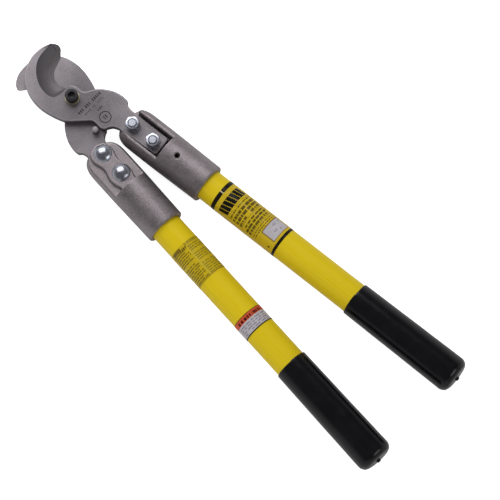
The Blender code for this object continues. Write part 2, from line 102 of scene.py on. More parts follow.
TUBE_RADIUS = 15.875
TUBE_BORE = 12.7
GRIP_START = 337.0
GRIP_MOUTH_RADIUS = 17.2
GRIP_END_RADIUS = 18.3
GRIP_CORNER = 8.0
GRIP_END_WALL = 4.0
NUB_RADIUS = 2.2
NUB_HEIGHT = 2.2

RIGHT_LABEL = (172.0, 249.7)
LEFT_LABEL = (182.5, 223.8)
WARNING_LABEL = (273.7, 292.4)
FOIL_RADIUS = 15.95
FOIL = 0.12

BOLT_RADIUS = 3.97
DOME_RADIUS = 9.0
DOME_HEIGHT = 4.6
NECK_DEPTH = 4.0
WASHER_THICKNESS = 1.6
BOLT_WASHER_RADIUS = 7.0
BOLT_NUT_FLATS = 12.7
BOLT_NUT_HEIGHT = 6.7
THREAD_PITCH = 1.41
THREAD_PROUD = 1.6
PIVOT_RADIUS = 4.0
PIVOT_HEAD_RADIUS = 6.5
PIVOT_HEAD_HEIGHT = 8.0
PIVOT_SOCKET_FLATS = 6.0
PIVOT_SOCKET_DEPTH = 4.0
PIVOT_WASHER_RADIUS = 7.4
PIVOT_NUT_FLATS = 13.0
PIVOT_NUT_HEIGHT = 6.8
STOP_PIN_RADIUS = 3.175
STOP_PIN_TOP = 8.0
STOP_PIN_PLACE = (7.6, -38.7)
ROLL_PIN_RADIUS = 2.38
ROLL_PIN_WALL = 0.5
ROLL_PIN_STATION = 118.2
ROLL_PIN_SPAN = (8.8, 18.0)

# Blade outline on the half frame, clockwise from the neck beside the pivot
HOOK_BACK = [(-22.1, -10.1), (-25.7, 0.4), (-28.3, 12.3), (-28.5, 23.3), (-26, 35), (-20.1, 45.6),
             (-11, 53.4), (1.8, 58.2), (12.8, 58.4), (19.9, 56.7), (25.1, 53.8)]
TIP_END = [(25.1, 53.8), (28.1, 50.8), (29.4, 47.8), (28.6, 45)]
CUTTING_EDGE = [(22.2, 39), (15.8, 36.9), (9.9, 35), (5.1, 31.2), (1.9, 25.8), (1.4, 19.6),
                (3.1, 14.4), (7.1, 11.1)]
BEVEL_LINE = [(25.1, 53.8), (16.2, 53.8), (9.4, 53), (3.4, 51.2), (-1.6, 47.9), (-6.4, 43.2),
              (-10.4, 37.4), (-13.3, 31.3), (-14.6, 24.9), (-14.2, 17.9), (-11.2, 13.2),
              (-4.5, 11.2), (0.9, 11.1), (6.3, 10.7)]
HUB_AND_LOBE = [(7.1, 11.1), (10.2, 6.9), (11.3, 2.5), (11.6, -2.5), (14.8, -6), (20.6, -9.2),
                (25.3, -13.6), (29.4, -19), (32.8, -25.3), (34.8, -33.2), (35.1, -39.8)]
NOTCH = [(35.1, -39.8), (34.4, -42), (32.3, -43.9), (31.2, -46.7), (30.7, -50.9)]
INNER_EDGE = [(9.3, -58.5), (8.6, -54.2), (6.5, -49.7), (2.9, -46.8), (-1.1, -44.8), (-2.9, -40.7),
              (-2.6, -35.2), (-3.3, -30.2), (-8, -25.2), (-13.3, -20), (-18.2, -15.1),
              (-22.1, -10.1)]
# For each kind of station, its rows that are side wall, rounded edge and ground bevel
STATION_ROWS = dict.fromkeys(("plain", "back"), (range(2, 5), range(6, 10), ()))
STATION_ROWS |= {"tip": (range(1, 4), (), range(3, 9)), "edge": ((), (), range(1, 9))}

# Stamped rows of plain bars: left, middle, width, height, pitch and where the bars are
STAMP_ROWS = ((-6.6, -16.1, 1.4, 3.1, 2.35, "||| ||| |||||"),
              (-3.2, -21.3, 0.8, 1.7, 2.1, "|||| || ||||"),
              (8.6, -27.2, 1.1, 2.4, 2.3, "|||"), (7.0, -37.1, 1.2, 4.0, 2.4, "||"))


# ---- mesh helpers

def mesh_from(bm, name="work"):
    bmesh.ops.recalc_face_normals(bm, faces=bm.faces)
    mesh = bpy.data.meshes.new(name)
    bm.to_mesh(mesh)
    bm.free()
    return mesh


def up(height):
    return Vector((0, 0, height))


def new_face(bm, corners):
    """A face on the corners that differ, if it takes three or more and isn't there already."""
    corners = list(dict.fromkeys(corners))
    if len(corners) > 2 and not bm.faces.get(corners):
        return bm.faces.new(corners)


def wall(bm, lower, upper):
    for i in range(len(lower)):
        j = (i + 1) % len(lower)
        bm.faces.new((lower[i], lower[j], upper[j], upper[i]))


def linked(data, name="work"):
    """An object in the scene that holds the mesh, light or camera."""
    made = bpy.data.objects.new(name, data)
    SCENE.collection.objects.link(made)
    return made


def applied(item, cutters=()):
    """The object's mesh with its modifiers applied; the work objects are removed."""
    depsgraph = bpy.context.evaluated_depsgraph_get()
    mesh = bpy.data.meshes.new_from_object(item.evaluated_get(depsgraph), depsgraph=depsgraph)
    for used in [item, *cutters]:
        bpy.data.objects.remove(used, do_unlink=True)
    return mesh


def carved(mesh, steps):
    """The mesh after boolean steps of (operation, cutter mesh)."""
    item = linked(mesh)
    cutters = []
    for operation, cutter_mesh in steps:
        cutter = linked(cutter_mesh)
        cutters.append(cutter)
        modifier = item.modifiers.new("carve", "BOOLEAN")
        modifier.operation = operation
        modifier.solver = "EXACT"
        modifier.object = cutter
    return applied(item, cutters)


def cut(mesh, *cutters):
    """The mesh less its cutters."""
    return carved(mesh, [("DIFFERENCE", cutter) for cutter in cutters])


def weighted(mesh):
    """Normals weighted by face area, so that flats stay flat beside small roundings."""
    item = linked(mesh)
    modifier = item.modifiers.new("weight", "WEIGHTED_NORMAL")
    modifier.keep_sharp = True
    modifier.weight = 60
    return applied(item)


def dress(mesh, looks):
    for look in looks:
        mesh.materials.append(look)
    return mesh


def finished(mesh, looks, sharp=35.0, weigh=False):
    """Scale to metres, shade and give the materials."""
    mesh.transform(Matrix.Scale(MM, 4))
    mesh.shade_smooth()
    mesh.set_sharp_from_angle(angle=radians(sharp))
    if weigh:
        mesh = weighted(mesh)
    return mesh if mesh.materials else dress(mesh, looks)


def lathe(profile, segments=64, warp=None):
    """A profile of (radius, height) turned about Z. A ring's profile ends where it starts."""
    closed = profile[0] == profile[-1]
    points = profile[:-1] if closed else profile
    bm = bmesh.new()
    rings = []
    for index, (radius, height) in enumerate(points):
        if radius < 1e-6:
            rings.append([bm.verts.new((0, 0, height))])
            continue
        ring = []
        for step in range(segments):
            angle = 2 * pi * step / segments
            r, z = warp(index, step, angle, radius, height) if warp else (radius, height)
            ring.append(bm.verts.new((r * cos(angle), r * sin(angle), z)))
        rings.append(ring)
    pairs = list(zip(rings, rings[1:]))
    if closed:
        pairs.append((rings[-1], rings[0]))
    for upper, lower in pairs:
        for step in range(segments):
            after = step + 1
            new_face(bm, [upper[step % len(upper)], lower[step % len(lower)],
                          lower[after % len(lower)], upper[after % len(upper)]])
    return mesh_from(bm)


def prism(outline, low, high, matrix=None):
    """A flat outline pulled up from low to high along Z."""
    bm = bmesh.new()
    bottom = [bm.verts.new((x, y, low)) for x, y in outline]
    top = [bm.verts.new((x, y, high)) for x, y in outline]
    bm.faces.new(bottom)
    bm.faces.new(top)
    wall(bm, bottom, top)
    mesh = mesh_from(bm)
    if matrix:
        mesh.transform(matrix)
    return mesh


def block(low, high):
    outline = [(low[0], low[1]), (high[0], low[1]), (high[0], high[1]), (low[0], high[1])]
    return prism(outline, low[2], high[2])


def rod(radius, low, high, place=(0, 0, 0), along_y=False, segments=64, turn=0.0):
    """A cylinder or prism along Z, or along Y, through the place."""
    outline = [(radius * cos(turn + 2 * pi * i / segments),
                radius * sin(turn + 2 * pi * i / segments)) for i in range(segments)]
    matrix = Matrix.Translation(place)
    if along_y:
        matrix = matrix @ Matrix.Rotation(radians(-90), 4, "X")
    return prism(outline, low, high, matrix)


def arc(centre, radius, start, end, steps):
    """Points on an arc, angles in degrees."""
    angles = [radians(start + (end - start) * i / steps) for i in range(steps + 1)]
    return [(centre[0] + radius * cos(a), centre[1] + radius * sin(a)) for a in angles]


def catmull_rom(points, steps):
    """A smooth curve through the points; steps per stretch."""
    knots = [Vector(point) for point in points]
    knots = [2 * knots[0] - knots[1]] + knots + [2 * knots[-1] - knots[-2]]
    curve = []
    for a, b, c, d in zip(knots, knots[1:], knots[2:], knots[3:]):
        for step in range(steps):
            t = step / steps
            curve.append(0.5 * (2 * b + (c - a) * t + (2 * a - 5 * b + 4 * c - d) * t ** 2
                                + (3 * b - a - 3 * c + d) * t ** 3))
    return curve + [knots[-2]]


def resample(curve, count):
    """The curve as count points, evenly spaced along its length."""
    lengths = [0.0]
    for a, b in zip(curve, curve[1:]):
        lengths.append(lengths[-1] + (b - a).length)
    even = []
    index = 0
    for step in range(count):
        target = lengths[-1] * step / (count - 1)
        while index < len(curve) - 2 and lengths[index + 1] < target:
            index += 1
        span = lengths[index + 1] - lengths[index]
        even.append(curve[index].lerp(curve[index + 1], (target - lengths[index]) / span))
    return even


def on_handle(across, along):
    """A point given from the handle's axis, on the half frame."""
    x = HANDLE_X + across * cos(HANDLE_ANGLE) + along * sin(HANDLE_ANGLE)
    y = across * sin(HANDLE_ANGLE) - along * cos(HANDLE_ANGLE)
    return Vector((x, y))


# ---- materials

class Nodes:
    """A world's or material's nodes: each call adds some, and feed links them to the shader."""

    def __init__(self, owner, shader):
        owner.use_nodes = True
        self.nodes = owner.node_tree.nodes
        self.links = owner.node_tree.links
        self.shader = self.nodes[shader]

    def node(self, kind, inputs=None, **settings):
        made = self.nodes.new("ShaderNode" + kind)
        for key, value in settings.items():
            setattr(made, key, value)
        for key, value in (inputs or {}).items():
            if isinstance(value, bpy.types.NodeSocket):
                self.links.new(value, made.inputs[key])
            else:
                made.inputs[key].default_value = value
        return made

    def space(self, stretch=(1, 1, 1), source="Object"):
        coords = self.node("TexCoord")
        return self.node("Mapping", {"Vector": coords.outputs[source],
                                     "Scale": stretch}).outputs[0]

    def noise(self, scale, detail=3.0, stretch=(1, 1, 1), source="Object", roughness=0.55):
        return self.node("TexNoise", {"Vector": self.space(stretch, source), "Scale": scale,
                                      "Detail": detail, "Roughness": roughness}).outputs["Fac"]

    def ranged(self, value, low=0.3, high=0.7, out_low=0.0, out_high=1.0):
        """The value carried to a new range; a noise mostly lies between 0.3 and 0.7."""
        return self.node("MapRange", {"Value": value, "From Min": low, "From Max": high,
                                      "To Min": out_low, "To Max": out_high}).outputs[0]

    def mixed(self, factor, first, second, blend="MIX"):
        made = self.node("Mix", data_type="RGBA", blend_type=blend)
        sockets = [made.inputs[index] for index in (0, 6, 7)]
        for socket, value in zip(sockets, (factor, first, second)):
            if isinstance(value, bpy.types.NodeSocket):
                self.links.new(value, socket)
            elif isinstance(value, tuple):
                socket.default_value = (*value[:3], 1)
            else:
                socket.default_value = value
        return made.outputs[2]

    def feed(self, socket, value):
        self.links.new(value, self.shader.inputs[socket])


class Look(Nodes):
    def __init__(self, name, roughness, metallic=0.0, **sockets):
        self.material = bpy.data.materials.new(name)
        super().__init__(self.material, "Principled BSDF")
        self.normal = None
        sockets |= {"Roughness": roughness, "Metallic": metallic}
        for socket, value in sockets.items():
            self.shader.inputs[socket.replace("_", " ")].default_value = value

    def bump(self, height, distance, strength=1.0):
        inputs = {"Height": height, "Distance": distance, "Strength": strength}
        if self.normal:
            inputs["Normal"] = self.normal
        self.normal = self.node("Bump", inputs).outputs[0]
        self.feed("Normal", self.normal)


def shade(colour, factor):
    return tuple(channel * factor for channel in colour)


def metal_look(name, colour, roughness, metallic, mottle, mottle_scale, grain_scale, grain_depth,
               speckle=0.08, stain=0.2, stain_scale=40, worn=False):
    """Mottled metal with a fine grain; mottle and stain are the spreads of its lightness.

    A worn metal is darker round the pivot and lighter on the hook's back and the far lobe.
    """
    look = Look(name, roughness, metallic)
    clouds = look.noise(mottle_scale, 4.0)
    tone = look.mixed(look.ranged(clouds), shade(colour, 1 - mottle), shade(colour, 1 + mottle))
    stains = look.ranged(look.noise(stain_scale), 0.36, 0.62)
    tone = look.mixed(stains, tone, (1 - stain,) * 3, "MULTIPLY")
    grain = look.noise(grain_scale, 2.0)
    tone = look.mixed(look.ranged(grain, 0.35, 0.65), tone, shade(colour, 1 + speckle * 3))
    pits = look.ranged(look.noise(grain_scale * 0.45, 1.0), 0.52, 0.7, 0.0, speckle * 5)
    tone = look.mixed(pits, tone, shade(colour, 0.72))
    if worn:
        away = look.node("VectorMath", {0: look.space(), 1: (-0.004, -0.016, 0.004)},
                         operation="DISTANCE").outputs["Value"]
        lift = look.ranged(away, 0.018, 0.052, 0.62, 1.0)
        grey = look.node("CombineColor", {"Red": lift, "Green": lift, "Blue": lift})
        tone = look.mixed(1.0, tone, grey.outputs[0], "MULTIPLY")
    # Painted light: side walls (value -1) are darkened as painted shade, rounded edges (value 1)
    # lightened as a painted highlight
    edge_light_and_shade = look.node("Attribute", attribute_name="edge_light_and_shade").outputs["Fac"]
    tone = look.mixed(look.ranged(edge_light_and_shade, -1.0, -0.1, 0.8, 0.0), tone, shade(colour, 0.25))
    tone = look.mixed(look.ranged(edge_light_and_shade, 0.2, 1.0, 0.0, 0.45), tone, shade(colour, 1.9))
    look.feed("Base Color", tone)
    look.feed("Roughness", look.ranged(clouds, out_low=roughness - 0.06, out_high=roughness + 0.06))
    look.bump(grain, grain_depth)
    return look


# What metal_look is called with, in its own order
METALS = {
    "steel": ("forged_steel", (0.27, 0.245, 0.264), 0.5, 0.6, 0.14, 110, 1500, 0.00005, 0.05, 0.42,
              38, True),
    "stamp": ("stamped_steel", (0.035, 0.031, 0.034), 0.6, 0.4, 0.2, 300, 1500, 0.00003),
    "cast": ("cast_aluminium", (0.30, 0.265, 0.28), 0.5, 0.85, 0.2, 190, 900, 0.00006, 0.07, 0.34,
             45),
    "zinc": ("zinc_plate", (0.50, 0.52, 0.59), 0.28, 1.0, 0.12, 300, 1800, 0.000004, 0.02),
    "black": ("black_oxide", (0.012, 0.010, 0.013), 0.42, 0.3, 0.2, 200, 1500, 0.00002),
    "brass": ("brass", (0.52, 0.46, 0.31), 0.4, 1.0, 0.15, 250, 1600, 0.00002),
    "pin": ("pin_steel", (0.24, 0.22, 0.235), 0.52, 0.85, 0.10, 200, 1500, 0.00003),
    "spring": ("spring_steel", (0.045, 0.042, 0.045), 0.45, 0.8, 0.10, 200, 1500, 0.00003)}


def make_looks():
    looks = {key: metal_look(*values) for key, values in METALS.items()}

    ground = Look("ground_bevel", 0.46, 0.45)
    lines = ground.noise(1.0, 3.0, (60, 900, 1), "UV")
    broad = ground.noise(120)
    tone = ground.mixed(ground.ranged(lines), (0.105, 0.096, 0.104), (0.17, 0.156, 0.165))
    tone = ground.mixed(ground.ranged(broad, 0.35, 0.65, 0.0, 0.5), tone, (0.125, 0.113, 0.118))
    across = ground.node("Attribute", attribute_name="across").outputs["Fac"]
    # Painted shade: the bevel's outer band, next to its top line, is darkened
    tone = ground.mixed(ground.ranged(across, 0.72, 0.98), tone, (0.095, 0.088, 0.100))
    # The honed strip by the edge is painted lighter: partly its polished finish, partly a painted
    # highlight from its different angle to the light
    tone = ground.mixed(ground.ranged(across, 0.27, 0.36, 1.0, 0.0), tone, (0.20, 0.184, 0.196))
    ground.feed("Base Color", tone)
    ground.feed("Roughness", ground.ranged(lines, out_low=0.42, out_high=0.54))
    ground.bump(lines, 0.00004)
    looks["ground"] = ground

    fibre = Look("yellow_fibreglass", 0.34, Specular_IOR_Level=0.12)
    strands = fibre.noise(1.0, 3.0, (700, 700, 14))
    clouds = fibre.noise(24, 2.0)
    tone = fibre.mixed(fibre.ranged(strands), (0.75, 0.555, 0.010), (0.80, 0.60, 0.014))
    tone = fibre.mixed(fibre.ranged(clouds, 0.35, 0.65, 0.0, 0.5), tone, (0.76, 0.56, 0.011))
    fibre.feed("Base Color", tone)
    fibre.feed("Roughness", fibre.ranged(strands, out_low=0.26, out_high=0.36))
    fibre.bump(strands, 0.00003, 0.5)
    looks["fibreglass"] = fibre

    foam = Look("foam_core", 0.9)
    cells = foam.node("TexVoronoi", {"Vector": foam.space(), "Scale": 900.0})
    cells = cells.outputs["Distance"]
    foam.feed("Base Color", foam.mixed(cells, (0.82, 0.74, 0.52), (0.66, 0.56, 0.36)))
    foam.bump(cells, 0.0003)
    looks["foam"] = foam

    vinyl = Look("black_vinyl", 0.2, Specular_IOR_Level=0.3)
    skin = vinyl.noise(900)
    haze = vinyl.noise(60)
    vinyl.feed("Base Color", vinyl.mixed(vinyl.ranged(haze), (0.0035, 0.0035, 0.0045),
                                         (0.006, 0.006, 0.008)))
    vinyl.feed("Roughness", vinyl.ranged(haze, out_low=0.15, out_high=0.22))
    vinyl.bump(skin, 0.00003, 0.6)
    looks["vinyl"] = vinyl

    for key, name, roughness in (("amber", "amber_label", 0.3), ("warning", "warning_label", 0.32)):
        foil = Look(name, roughness, Specular_IOR_Level=0.18)
        print_colour = foil.node("Attribute", attribute_name="print").outputs["Color"]
        wear = foil.noise(300, 4.0)
        foil.feed("Base Color", foil.mixed(foil.ranged(wear), print_colour, (0.84, 0.85, 0.80),
                                           "MULTIPLY"))
        foil.feed("Roughness", foil.ranged(wear, out_low=roughness - 0.06,
                                           out_high=roughness + 0.06))
        foil.bump(wear, 0.00002, 0.5)
        looks[key] = foil
    return {key: look.material for key, look in looks.items()}


# ---- blades

def blade_stations():
    """Blade outline as rows of points at each station, clockwise, with each station's kind."""
    outline = []
    kinds = []

    def add(points, kind):
        outline.extend(points[:-1])
        kinds.extend([kind] * (len(points) - 1))

    add(catmull_rom(HOOK_BACK, 9), "back")
    tip = catmull_rom(TIP_END, 7)
    tip += [tip[-1].lerp(Vector(CUTTING_EDGE[0]), t) for t in (0.33, 0.66, 1.0)]
    edge = resample(catmull_rom(CUTTING_EDGE, 16), EDGE_POINTS)
    line = resample(catmull_rom(BEVEL_LINE, 12), EDGE_POINTS)
    add(tip, "tip")
    add(edge, "edge")
    hub_start = len(outline)
    add(catmull_rom(HUB_AND_LOBE, 8), "plain")
    add(catmull_rom(NOTCH, 6) + [on_handle(SHANK_OUTER, SHANK_END - SHANK_CORNER)], "plain")
    for across, inward, start in ((SHANK_OUTER, -1, 0), (SHANK_INNER, 1, 90)):
        centre = (across + inward * SHANK_CORNER, SHANK_END - SHANK_CORNER)
        corner = arc(centre, SHANK_CORNER, start, start + 90, 6)
        add([on_handle(*point) for point in corner] + [None], "plain")
    add(catmull_rom(INNER_EDGE, 7), "plain")

    along = (edge[0] - edge[1]).normalized()
    normal = Vector((-along.y, along.x))
    rise = BLADE_THICKNESS / (line[0] - edge[0]).dot(normal)
    tip_top = Vector((*line[0], BLADE_THICKNESS))
    first_inward = (line[0] - edge[0]).normalized()
    tip_support = tip_top + Vector((*first_inward, 0)) * SUPPORT
    count = len(outline)
    rows = []
    edge_index = 0
    for i, foot in enumerate(outline):
        kind = kinds[i]
        low = Vector((*foot, 0))
        if kind in ("plain", "back"):
            tangent = (outline[(i + 1) % count] - outline[i - 1]).normalized()
            inward = Vector((tangent.y, -tangent.x, 0))
            ending = kinds.index("tip") - i if kind == "back" else i - hub_start + 3
            radius = BLADE_ROUNDING * min(1.0, 0.25 + ending / 12)
            places = [(0.3, 0), (0, 0.3), (0, 1.8), (0, 3.4), (0, 5.0),
                      (0, BLADE_THICKNESS - radius)]
            for angle in (22.5, 45, 67.5, 90):
                turn = radians(angle)
                places.append((radius * (1 - cos(turn)),
                               BLADE_THICKNESS - radius * (1 - sin(turn))))
            places.append((radius + SUPPORT, BLADE_THICKNESS))
            rows.append([low + inward * inset + up(height) for inset, height in places])
        elif kind == "tip":
            height = (foot - edge[0]).dot(normal) * rise
            height = max(EDGE_LAND, min(height, BLADE_THICKNESS - 0.3))
            shoulder = low + up(height)
            column = [low, low + up(min(0.1, height / 3)),
                      low + up(height / 2), shoulder]
            column += [shoulder.lerp(tip_top, t / BEVEL_STEPS) for t in range(1, BEVEL_STEPS + 1)]
            rows.append(column + [tip_support])
        else:
            top = Vector((*line[edge_index], BLADE_THICKNESS))
            edge_index += 1
            land = low + up(EDGE_LAND)
            length = (top - land).length
            share = min(HONED_WIDTH / length, HONED_SHARE)
            honed = land.lerp(top, share) + up(HONED_RISE * share / HONED_SHARE)
            column = [low, land, land.lerp(honed, 0.5), honed]
            for step in range(1, BEVEL_STEPS + 1):
                dip = HOLLOW * sin(pi * step / BEVEL_STEPS) * min(1.0, length / 14)
                column.append(honed.lerp(top, step / BEVEL_STEPS) - up(dip))
            inward = (Vector((*line[edge_index - 1], 0)) - low).normalized()
            rows.append(column + [top + inward * SUPPORT])
    return rows, kinds


def stamp_mesh():
    """Cutter for the marks on the front blade's face: rows of plain bars and a ring."""
    bm = bmesh.new()
    low, high = BLADE_TOP - STAMP_DEPTH, BLADE_TOP + 1
    for left, middle, width, height, pitch, marks in STAMP_ROWS:
        for index, mark in enumerate(marks):
            if mark == "|":
                at = left + index * pitch
                bm.from_mesh(block((at - width / 2, middle - height / 2, low),
                                   (at + width / 2, middle + height / 2, high)))
    inner, outer = STAMP_RING
    ring = lathe([(outer, high), (outer, low), (inner, low), (inner, high), (outer, high)], 72)
    ring.transform(Matrix.Translation((*STAMP_RING_PLACE, 0)))
    bm.from_mesh(ring)
    for face in bm.faces:
        face.material_index = 2
    return mesh_from(bm)


def blade_mesh(looks, extra_holes, stamped=False):
    """The looks are the forged, ground and stamped steel.

    The attribute "across" runs over the bevel from its edge to its top line. The painted-light
    attribute is 1 on rounded edges, for a painted highlight, and -1 on side walls, for painted
    shade.
    """
    rows, kinds = blade_stations()
    bm = bmesh.new()
    uv = bm.loops.layers.uv.new("UVMap")
    across_layer = bm.verts.layers.float.new("across")
    edge_light_and_shade_layer = bm.verts.layers.float.new("edge_light_and_shade")
    known = {}
    grind = {}

    def vertex(point, row, arc_length, across, edge_light_and_shade):
        key = tuple(round(value, 4) for value in point)
        if key not in known:
            known[key] = bm.verts.new((point.x, point.y, point.z + BLADE_BOTTOM))
            known[key][across_layer] = across
            known[key][edge_light_and_shade_layer] = edge_light_and_shade
            grind[known[key]] = (arc_length * MM, (row - 1) * 2.0 * MM)
        return known[key]

    columns = []
    travelled = 0.0
    for i, column in enumerate(rows):
        travelled += (column[0] - rows[i - 1][0]).length
        walls, rounded = STATION_ROWS[kinds[i]][:2]
        made = []
        for row, point in enumerate(column):
            across = row / (len(column) - 2) if kinds[i] == "edge" else 0.55
            # painted light: 1 on rounded-edge rows for a painted highlight, -1 on side-wall rows
            # for painted shade
            edge_light_and_shade = float(row in rounded) - float(row in walls)
            made.append(vertex(point, row, travelled, across, edge_light_and_shade))
        columns.append(made)
    count = len(columns)
    for i in range(count):
        after = columns[(i + 1) % count]
        for row in range(len(columns[i]) - 1):
            face = new_face(bm, [columns[i][row], after[row], after[row + 1],
                                 columns[i][row + 1]])
            if face:
                face.material_index = 1 if row in STATION_ROWS[kinds[i]][2] else 0
                for loop in face.loops:
                    loop[uv].uv = grind[loop.vert]
    for end in (0, -1):
        new_face(bm, [column[end] for column in columns])
    holes = [((0, 0), PIVOT_RADIUS + FIT)]
    holes += [(on_handle(*spot), BOLT_RADIUS + FIT) for spot in BOLT_PLACES]
    cutters = [rod(radius, -5, 15, (*place, 0)) for place, radius in holes + extra_holes]
    if stamped:
        cutters.append(dress(stamp_mesh(), looks))
    return cut(dress(mesh_from(bm), looks), *cutters)


# ---- castings

def nose_radius(along):
    t = (SOCKET_SHOULDER - along) / (SOCKET_SHOULDER - SOCKET_NOSE)
    return SOCKET_RADIUS * max(0.0, 1 - t ** NOSE_POWER) ** (1 / NOSE_POWER)


def pad_mesh():
    """The raised figure-of-eight pad under the bolts' heads."""
    wide, waist = 11.3, 8.6
    first, second = (along for across, along in BOLT_PLACES)
    middle = (first + second) / 2
    side = [(0, first - wide), (wide * 0.72, first - wide * 0.7), (wide, first), (waist, middle),
            (wide, second), (waist, SOCKET_STEP - 2), (waist, SOCKET_STEP + 2)]
    half = catmull_rom(side, 8)
    outline = half + [Vector((-x, y)) for x, y in reversed(half[1:])]
    pulled = prism([(x, along) for x, along in outline], PAD_LEVEL, PAD_LEVEL / 2)
    pulled.transform(Matrix(((1, 0, 0, 0), (0, 0, 1, 0), (0, 1, 0, 0), (0, 0, 0, 1))))
    pulled.flip_normals()
    return pulled


def socket_mesh():
    """Locally Z runs along the handle and Y is the open channel's side."""
    nose = [SOCKET_SHOULDER - (SOCKET_SHOULDER - SOCKET_NOSE) * sin(radians(a))
            for a in range(0, 90, 5)]
    bore = TUBE_RADIUS + FIT
    profile = [(0, BORE_DEPTH), (bore, BORE_DEPTH), (bore, SOCKET_MOUTH)]
    profile += arc((SOCKET_MOUTH_RADIUS - SOCKET_RIM, SOCKET_MOUTH - SOCKET_RIM), SOCKET_RIM,
                   90, 0, 5)
    profile += [(SOCKET_RADIUS, SOCKET_STEP)]
    profile += [(nose_radius(along), along) for along in nose]
    profile += [(0, SOCKET_NOSE)]
    base = lathe(profile, 128)
    far = 2 * SOCKET_RADIUS
    start = SOCKET_NOSE - SOCKET_RIM
    width = CHANNEL_HALF_WIDTH
    neck = BOLT_RADIUS + FIT
    pad = pad_mesh()
    steps = [block((-far, -far, start), (far, FLAT_LEVEL, SOCKET_STEP)), pad,
             block((-far, WALL_TOP, start), (far, far, SOCKET_STEP)),
             block((-width, -BLADE_BOTTOM, start), (width, far - 1, SOCKET_STEP)),
             block((-far, -BLADE_BOTTOM, start), (far, far, WALL_NOSE))]
    for across, along in BOLT_PLACES:
        steps += [rod(neck, -far, far, (across, 0, along), True),
                  block((across - neck, -far, along - neck),
                        (across + neck, PAD_LEVEL + NECK_DEPTH, along + neck))]
    steps.append(rod(ROLL_PIN_RADIUS + FIT, ROLL_PIN_SPAN[0], far, (0, 0, ROLL_PIN_STATION), True))
    steps = [("UNION" if step is pad else "DIFFERENCE", step) for step in steps]
    item = linked(carved(base, steps))
    remesh = item.modifiers.new("cast", "REMESH")
    remesh.mode = "VOXEL"
    remesh.voxel_size = CAST_VOXEL
    soften = item.modifiers.new("soften", "SMOOTH")
    soften.factor = 0.5
    soften.iterations = 3
    return applied(item)


# ---- handles

def tube_mesh():
    low = BORE_DEPTH + FIT
    high = HANDLE_END - GRIP_END_WALL - FIT
    corner, steps = 0.4, 28
    stations = [low + corner + (high - low - 2 * corner) * i / steps for i in range(steps + 1)]
    outer = [(TUBE_RADIUS - corner, high)] + [(TUBE_RADIUS, s) for s in reversed(stations)]
    outer += [(TUBE_RADIUS - corner, low)]
    profile = [(TUBE_BORE, high)] + outer + [(TUBE_BORE, low), (TUBE_BORE, high)]
    pin = rod(ROLL_PIN_RADIUS + 0.1, ROLL_PIN_SPAN[0], 30, (0, 0, ROLL_PIN_STATION), True, 32)
    return cut(lathe(profile, 96), pin)


def grip_mesh():
    """Dipped vinyl: a faint mould line, a small step in the mouth's edge and uneven skin."""
    bore = TUBE_RADIUS + SEAT
    end = HANDLE_END - NUB_HEIGHT
    nub = [(NUB_RADIUS * share, HANDLE_END - drop)
           for share, drop in ((0, 0), (0.5, 0.1), (0.82, 0.4), (0.97, 0.9))]
    nub += [(NUB_RADIUS, end + 0.4), (NUB_RADIUS + 0.25, end + 0.06)]
    corner = arc((GRIP_END_RADIUS - GRIP_CORNER, end - GRIP_CORNER), GRIP_CORNER, 90, 0, 14)
    lip = 0.6
    body_steps = 70
    mould_line, unevenness, mouth_step = 0.09, 0.05, 0.3
    body = []
    for i in range(1, body_steps + 1):
        share = i / body_steps
        height = end - GRIP_CORNER + (GRIP_START + lip - end + GRIP_CORNER) * share
        body.append((GRIP_END_RADIUS + (GRIP_MOUTH_RADIUS - GRIP_END_RADIUS) * share, height))
    mouth = arc((GRIP_MOUTH_RADIUS - lip, GRIP_START + lip), lip, 0, -90, 4)[1:]
    floor = HANDLE_END - GRIP_END_WALL
    inner = [(bore, GRIP_START + 0.1), (bore, floor), (0, floor)]
    profile = nub + [(NUB_RADIUS + 1.2, end)] + corner + body + mouth + inner
    outer_points = len(profile) - len(inner)

    def warp(index, step, angle, radius, height):
        if index >= outer_points or radius < 4:
            return radius, height
        near_mouth = max(0.0, 1 - (height - GRIP_START) / 10)
        step_side = tanh(cos(angle) * 18)
        line = sum(max(0.0, 1 - abs(remainder(angle - at, 2 * pi)) * radius / 0.7)
                   for at in (pi / 2, -pi / 2))
        waves = sin(3 * angle + height * 0.05) * sin(height * 0.11 + 1.3)
        end_fade = min(1.0, max(0.0, (end - height) / 6))
        return (radius + end_fade * (mould_line * line + unevenness * waves),
                height + mouth_step * near_mouth * step_side)

    return lathe(profile, 128, warp)


# ---- printed foils

